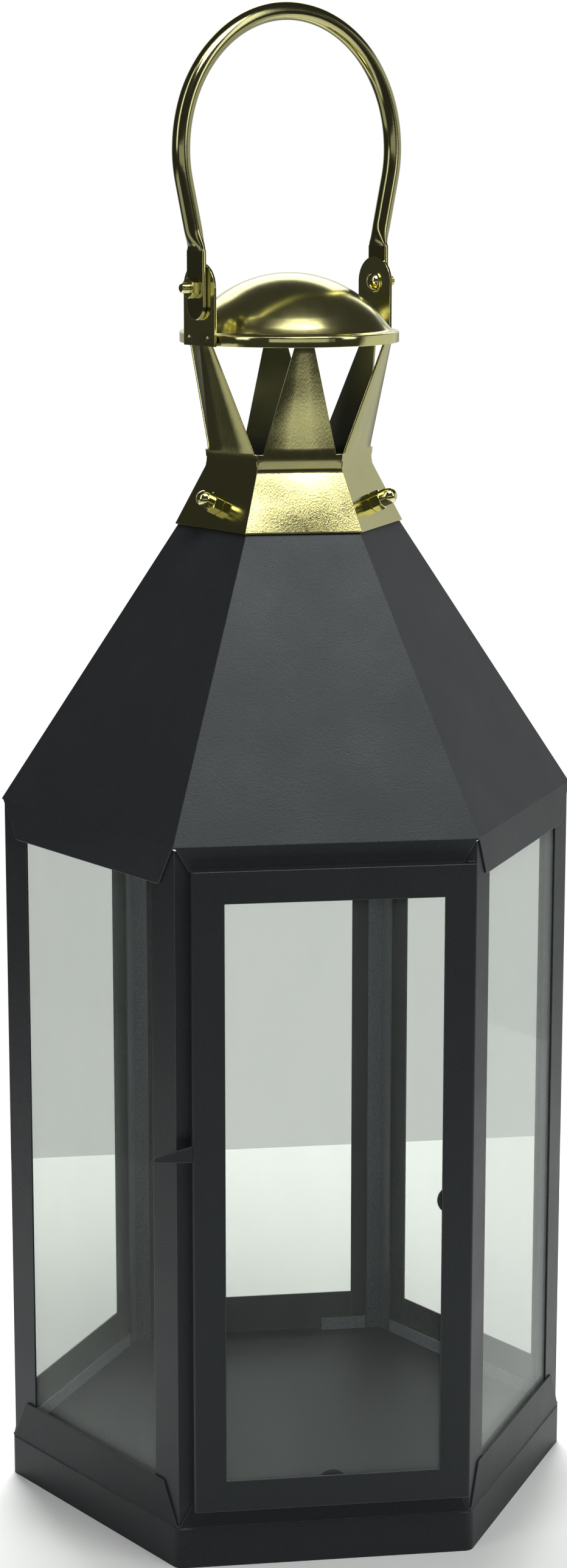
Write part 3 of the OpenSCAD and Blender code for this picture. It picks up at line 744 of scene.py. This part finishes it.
def crown_sheet(bm):
    """The crown's outer face: skirt, neck fold, slotted band and six leaves that bend outwards."""
    rows, slot_low, slot_high = crown_profile()
    tan = math.tan(math.radians(30))
    root_half = NECK_A * tan - LEAF_VEE / 2
    root_row = min(range(len(rows)), key=lambda i: abs(rows[i][1] - LEAF_ROOT_Z))
    root_z = rows[root_row][1]

    def columns(a, z):
        """Where the mitres, the slots' edges and the leaf's edges cross a row."""
        full = a * tan
        slot = full - SLOT_EDGE
        if slot_low < z < slot_high:
            slot -= SLOT_FLARE * (z - slot_low) / (slot_high - slot_low)
        leaf = root_half
        if z > root_z:
            leaf += (LEAF_TIP_W / 2 - root_half) * (z - root_z) / (LEAF_TIP_Z - root_z)
        return (-full, -slot, -leaf, -leaf / 3, leaf / 3, leaf, slot, full)

    bmesh.ops.create_grid(bm, x_segments=CROWN_COLUMNS, y_segments=len(rows) - 1, size=0.5)
    spots = {}
    for vert in bm.verts:
        row = round((vert.co.y + 0.5) * (len(rows) - 1))
        column = round((vert.co.x + 0.5) * CROWN_COLUMNS)
        spots[vert] = (row, column)
        a, z = rows[row]
        vert.co = (columns(a, z)[column], -a, z)
    cut = []
    for face in bm.faces:
        row, column = min(spots[vert] for vert in face.verts)
        by_mitre = column in (0, CROWN_COLUMNS - 1)
        by_leaf = column in (0, 1, CROWN_COLUMNS - 2, CROWN_COLUMNS - 1)
        in_slot = rows[row][1] >= slot_low - DOUBLE and rows[row + 1][1] <= slot_high + DOUBLE
        if row >= root_row and by_leaf or by_mitre and in_slot:
            cut.append(face)
    bmesh.ops.delete(bm, geom=cut, context="FACES")
    bmesh.ops.spin(
        bm,
        geom=[*bm.verts, *bm.edges, *bm.faces],
        cent=(0, 0, 0),
        axis=(0, 0, 1),
        angle=math.radians(300),
        steps=5,
        use_duplicate=True,
    )
    bmesh.ops.remove_doubles(bm, verts=bm.verts, dist=DOUBLE)


def handle_tab(bm, side):
    """One pressed end of the handle with its bored hole, in the handle's own frame."""
    before = {*bm.edges, *bm.faces}
    half, high = TAB_W / 2, TAB_HIGH + TAB_LAP
    outline = [(half, high), (-half, high), *arc((0, TAB_LOW + half), half, 180, 360, 24)]
    edges = []
    for points in (outline, arc((0, 0), BORE_R, 0, 345, 23)):
        edges += ring(bm, [(side * (TAB_X - TAB_T / 2), y, z) for y, z in points])
    made = bmesh.ops.triangle_fill(bm, use_beauty=True, use_dissolve=False, edges=edges)
    faces = [g for g in made["geom"] if isinstance(g, bmesh.types.BMFace)]
    grown = bmesh.ops.extrude_face_region(bm, geom=faces, use_keep_orig=True)
    top = [g for g in grown["geom"] if isinstance(g, bmesh.types.BMVert)]
    bmesh.ops.translate(bm, verts=top, vec=(side * TAB_T, 0, 0))
    rim = [
        edge
        for edge in added(bm.edges, before)
        if len(edge.link_faces) == 2
        and edge.calc_face_angle(0) > 1.2
        and edge.verts[0].co.yz.length > 1.5 * BORE_R
    ]
    bmesh.ops.recalc_face_normals(bm, faces=added(bm.faces, before))
    bmesh.ops.bevel(
        bm, geom=rim, offset=TAB_EDGE, segments=4, profile=0.5, affect="EDGES", material=-1
    )


def handle_line():
    """The tube's middle line on one side, from the pressed end to the top of the bow.

    Each point comes with the share of the full tube it has swollen to, and its lean.
    """
    way = Vector((math.sin(LEG_TILT), math.cos(LEG_TILT)))
    start = Vector((TAB_X, TAB_HIGH))
    knee = Vector((TAB_X, KNEE_Z))
    upright = KNEE_Z - TAB_HIGH
    line = [(start, 0.0, 0.0)]
    for i in range(1, SWELL_STEPS + 1):
        run = SWELL * i / SWELL_STEPS
        at = start + Vector((0, run)) if run <= upright else knee + way * (run - upright)
        swell = math.sin(math.pi / 2 * i / SWELL_STEPS)
        line.append((at, swell, LEG_TILT * min(1.0, run / (2 * upright))))
    middle = Vector((0, BOW_Z))
    foot = middle + BOW_R * Vector((math.cos(LEG_TILT), -math.sin(LEG_TILT)))
    leg = line[-1][0]
    line += [(leg.lerp(foot, i / LEG_STEPS), 1.0, LEG_TILT) for i in range(1, LEG_STEPS + 1)]
    for i in range(1, BOW_STEPS + 1):
        a = -LEG_TILT + (math.pi / 2 + LEG_TILT) * i / BOW_STEPS
        line.append((middle + BOW_R * Vector((math.cos(a), math.sin(a))), 1.0, -a))
    return line


def handle_tube(bm):
    """The handle's tube: out of one pressed end, round the bow and into the other."""
    line = handle_line()
    rows = []
    for mirror, points in ((1, line), (-1, line[-2::-1])):
        for at, swell, lean in points:
            out = Vector((math.cos(lean), -math.sin(lean)))
            row = []
            for a in (2 * math.pi * i / TUBE_SIDES for i in range(TUBE_SIDES)):
                c, q = math.cos(a), math.sin(a)
                flat_u = TAB_T / 2 * math.copysign(min(1.0, 1.25 * abs(c) ** 0.5), c)
                flat_v = TAB_W / 2 * q
                x, z = at + out * (flat_u + (TUBE_R * c - flat_u) * swell)
                row.append((mirror * x, flat_v + (TUBE_R * q - flat_v) * swell, z))
            rows.append(row)
    skin(bm, rows)


def pivot_screw(bm, side):
    """A flanged dome screw through an ear, its end threaded."""
    turn = Matrix.Rotation(math.radians(90), 4, "Y")
    place = Matrix.Scale(side, 4, (1, 0, 0)) @ Matrix.Translation((LID_R, 0, 0)) @ turn
    head = [(0, -HEAD_H)]
    for a in (math.radians(12 * i) for i in range(1, 7)):
        head.append((HEAD_DOME_R * math.sin(a), -HEAD_H * math.cos(a) * 0.75 - 0.25 * HEAD_H))
    head += [
        (HEAD_DOME_R, -0.95 * MM),
        (HEAD_DOME_R + 0.15 * MM, -0.75 * MM),
        (HEAD_R - 0.2 * MM, -0.62 * MM),
        (HEAD_R, -0.4 * MM),
        (HEAD_R, -0.05 * MM),
        (HEAD_R - 0.1 * MM, 0),
        (0, 0),
    ]
    bmesh.ops.transform(bm, matrix=place, verts=revolve(bm, head, HEAD_STEPS))
    shank = SCREW_END - SCREW_START
    count = int(shank / PITCH * ROWS_PER_TURN)
    rows = []
    for z in (SCREW_START + shank * j / count for j in range(count + 1)):
        limit = SCREW_R - max(0.0, z - (SCREW_END - SCREW_CHAMFER))
        row = []
        for i in range(SCREW_SIDES):
            a = 2 * math.pi * i / SCREW_SIDES
            along = (z / PITCH - i / SCREW_SIDES) % 1.0
            r = min(limit, SCREW_R - THREAD_H * (1 - abs(2 * along - 1)))
            row.append(place @ Vector((r * math.cos(a), r * math.sin(a), z)))
        rows.append(row)
    skin(bm, rows)


# ---------------------------------------------------------------- operators


class LANTERN_OT_case(bpy.types.Operator):
    """Finish the steel case: plinth, floor tray, posts, glazing bars, ledges and roof."""

    bl_idname = "lantern.case"
    bl_label = "Finish the case"

    def execute(self, context):
        dress(["plinth_band"], steel("plinth_steel", shine=0.32))
        dress(["floor_tray"], steel("tray_steel", dust_and_top_light=0.3, shine=0.24))
        dress([f"post_{c}" for c in CORNERS], steel("post_steel"))
        dress([f"glazing_bar_{c}" for c in CORNERS], steel("bar_steel", 16.0, gloss=0.14))
        dress([f"ledge_{s}" for s in SIDES], steel("ledge_zinc", 32.0, gloss=0.16))
        dress(["roof"], steel("roof_steel", 1.25, dust_and_top_light=0.35))
        return {"FINISHED"}


class LANTERN_OT_panes(bpy.types.Operator):
    """Finish the glass panes of the case and the door."""

    bl_idname = "lantern.panes"
    bl_label = "Finish the panes"

    def execute(self, context):
        dress([f"glass_{s}" for s in SIDES], glass("pane_glass"))
        dress(["door_glass"], glass("door_pane_glass", 0.5))
        return {"FINISHED"}


class LANTERN_OT_door(bpy.types.Operator):
    """Finish the door's frame, clips, pull tab and hinges."""

    bl_idname = "lantern.door"
    bl_label = "Finish the door"

    def execute(self, context):
        ends = ("lower", "upper")
        hinges = [f"hinge_{half}_{end}" for half in ("bracket", "pin") for end in ends]
        small = ["door_pull", *hinges, "glass_clips", "clip_studs"]
        dress(["door_frame"], steel("door_steel", 0.9))
        dress(small, steel("door_small_steel", 0.9, gloss=0.1))
        return {"FINISHED"}


class LANTERN_OT_brasswork(bpy.types.Operator):
    """Finish the crown, lid, ears, handle and fasteners."""

    bl_idname = "lantern.brasswork"
    bl_label = "Finish the brass"

    def crown(self, context, b):
        """The crown's sheet, brushed outside; rougher inside, with painted shade in the inner
        colour.
        """
        bm = bmesh.new()
        crown_sheet(bm)
        metal = lighter(b.metal, 0.76)
        brushed = brass(
            "crown_brass", b.sheet_roughness, metal, lines=(1, 1, 0.03), warp=0.9 * MM
        )
        piece = finished(context, "crown_sheet", bm, brushed, "lantern", 25)
        # Inner faces: rougher brass, darkened with painted shade.
        dull = brass("crown_inside_shaded_brass", b.sheet_roughness + 0.25, b.inside)
        piece.data.materials.append(dull)
        thicken(piece, 0.25 * MM, inside=1)
        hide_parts("crown")

    def lid(self, context, b):
        """The lid's polished sheet, with finer waves on its rim."""
        bm = bmesh.new()
        lid_sheet(bm)
        polished = brass("lid_brass", b.polish_roughness + 0.12, dull=0.4, warp=0.3 * MM)
        piece = finished(context, "lid_sheet", bm, polished, "lantern", 40)
        rim = brass(
            "rim_brass",
            b.polish_roughness + 0.04,
            dull=0.4,
            warp=0.5 * MM,
            wave=130.0,
            along=(1, 1, 0.05),
        )
        piece.data.materials.append(rim)
        for face in piece.data.polygons:
            if face.center.z < BRIM_Z - RIM_FINISH:
                face.material_index = 1
        thicken(piece, 0.15 * MM)
        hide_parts("lid")

    def handle(self, context, b):
        """The handle's tube with its two pressed ends."""
        bm = bmesh.new()
        for side in (1, -1):
            handle_tab(bm, side)
        handle_tube(bm)
        bmesh.ops.transform(bm, matrix=HANDLE_FRAME, verts=bm.verts)
        bmesh.ops.recalc_face_normals(bm, faces=bm.faces)
        tube = brass("tube_brass", b.polish_roughness + 0.07, b.tarnish, dull=0.35)
        piece = finished(context, "handle_tube", bm, tube, "handle", 24)
        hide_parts("handle")

    def pivot_screws(self, context, fastener):
        """The two screws that the handle turns on."""
        bm = bmesh.new()
        for side in (1, -1):
            pivot_screw(bm, side)
        bmesh.ops.transform(bm, matrix=HANDLE_FRAME, verts=bm.verts)
        bmesh.ops.recalc_face_normals(bm, faces=bm.faces)
        piece = finished(context, "pivot_screw_pair", bm, fastener, "lantern", 35)
        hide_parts("pivot_screws")

    def execute(self, context):
        b = context.scene.lantern_brass
        ear = brass("ear_brass", b.sheet_roughness, dull=0.7, warp=0.3 * MM)
        fastener = brass("fastener_brass", 0.13, dull=0.3)
        dress(["ear_left", "ear_right"], ear)
        dress(["crown_screws", "cap_nuts", "pivot_nuts"], fastener)
        self.crown(context, b)
        self.lid(context, b)
        self.handle(context, b)
        self.pivot_screws(context, fastener)
        return {"FINISHED"}


class LANTERN_OT_stage(bpy.types.Operator):
    """Set the floor, the soft lights and the camera."""

    bl_idname = "lantern.stage"
    bl_label = "Set the stage"

    def floor(self, context, colour, back):
        """A floor that ends a little way behind the lantern."""
        width, depth = 1.4, 1.02
        bm = bmesh.new()
        bmesh.ops.create_grid(bm, x_segments=8, y_segments=8, size=0.5)
        bmesh.ops.scale(bm, verts=bm.verts, vec=(width, depth, 1))
        bmesh.ops.translate(bm, verts=bm.verts, vec=(0.2, back - depth / 2, 0))
        mesh = bpy.data.meshes.new("floor")
        bm.to_mesh(mesh)
        bm.free()
        f = Finish("floor_paint")
        tone = f.noise(f.place(), 3.0, 3.0, 0.5)
        colour = f.mix(tone * 0.25, colour, lighter(colour, 0.92))
        mesh.materials.append(f.done(f.shader(Base_Color=colour, Roughness=0.7)))
        floor = bpy.data.objects.new("floor", mesh)
        context.scene.collection.objects.link(floor)

    def light(self, context, name, place, aim, size, radiance, mirrored):
        """One softbox."""
        lamp = bpy.data.lights.new(name, "AREA")
        lamp.shape = "RECTANGLE"
        lamp.size, lamp.size_y = size
        lamp.energy = radiance * math.pi * size[0] * size[1]
        obj = bpy.data.objects.new(name, lamp)
        turn = (Vector(aim) - Vector(place)).to_track_quat("-Z", "Y")
        obj.matrix_world = Matrix.Translation(place) @ turn.to_matrix().to_4x4()
        obj.visible_glossy = mirrored
        context.scene.collection.objects.link(obj)

    def room(self, context):
        """A dark room with pale walls; the camera itself sees plain white."""
        world = bpy.data.worlds.new("studio")
        context.scene.world = world
        g = Graph(world)
        way = g.node("ShaderNodeSeparateXYZ", {}, {0: g.node("ShaderNodeTexCoord")["Generated"]})
        turn = way["Y"].turn_from(way["X"])
        up = way["Z"]
        glow = ROOM_GLOW
        for left, right, low, high, soft, radiance in WALLS:
            across = turn.step(right - soft, right + soft)
            across = across * (1.0 - turn.step(left - soft, left + soft))
            half = soft / 2
            above = up.step(low - half, low + half)
            wall = across * above * (1.0 - up.step(high - half, high + half))
            glow = wall * radiance + glow
        room = g.node(
            "ShaderNodeBackground", {}, {"Color": (0.98, 1.0, 0.99), "Strength": glow}
        )["Background"]
        white = g.node("ShaderNodeBackground", {}, {"Color": (1.0, 1.0, 1.0)})["Background"]
        seen = g.node("ShaderNodeLightPath")["Is Camera Ray"]
        mixed = g.node("ShaderNodeMixShader", {}, {0: seen, 1: room, 2: white})[0]
        g.node("ShaderNodeOutputWorld", {}, {"Surface": mixed})

    def execute(self, context):
        s = context.scene.lantern_stage
        self.floor(context, list(s.floor), s.floor_back)
        self.room(context)
        for softbox in SOFTBOXES:
            self.light(context, *softbox)
        camera = bpy.data.cameras.new("camera")
        camera.sensor_fit = "VERTICAL"
        camera.sensor_height = 36
        camera.lens = s.lens
        camera.clip_start = 0.01
        eye = bpy.data.objects.new("camera", camera)
        eye.location = s.camera_at
        eye.rotation_euler = (s.pitch, 0, s.yaw)
        context.scene.collection.objects.link(eye)
        context.scene.camera = eye
        context.scene.view_settings.view_transform = "Standard"
        return {"FINISHED"}


class LANTERN_PT_panel(bpy.types.Panel):
    """The lantern's settings and steps."""

    bl_idname = "LANTERN_PT_panel"
    bl_label = "Candle Lantern"
    bl_space_type = "VIEW_3D"
    bl_region_type = "UI"
    bl_category = "Lantern"

    def draw(self, context):
        for name, group in SETTINGS.items():
            box = self.layout.box()
            box.label(text=group.__doc__)
            for key in group.__annotations__:
                box.prop(getattr(context.scene, name), key)
        for step in STEPS:
            self.layout.operator(step.bl_idname)


SETTINGS = {
    "lantern_steel": LanternSteel,
    "lantern_brass": LanternBrass,
    "lantern_glass": LanternGlass,
    "lantern_stage": LanternStage,
}
STEPS = (
    LANTERN_OT_stage,
    LANTERN_OT_case,
    LANTERN_OT_panes,
    LANTERN_OT_door,
    LANTERN_OT_brasswork,
)


def register():
    for name, group in SETTINGS.items():
        bpy.utils.register_class(group)
        setattr(bpy.types.Scene, name, PointerProperty(type=group))
    for step in STEPS:
        bpy.utils.register_class(step)
    bpy.utils.register_class(LANTERN_PT_panel)


def unregister():
    bpy.utils.unregister_class(LANTERN_PT_panel)
    for step in reversed(STEPS):
        bpy.utils.unregister_class(step)
    for name, group in SETTINGS.items():
        delattr(bpy.types.Scene, name)
        bpy.utils.unregister_class(group)


def main():
    register()
    for step in STEPS:
        family, name = step.bl_idname.split(".")
        getattr(getattr(bpy.ops, family), name)()


if __name__ == "__main__":
    main()
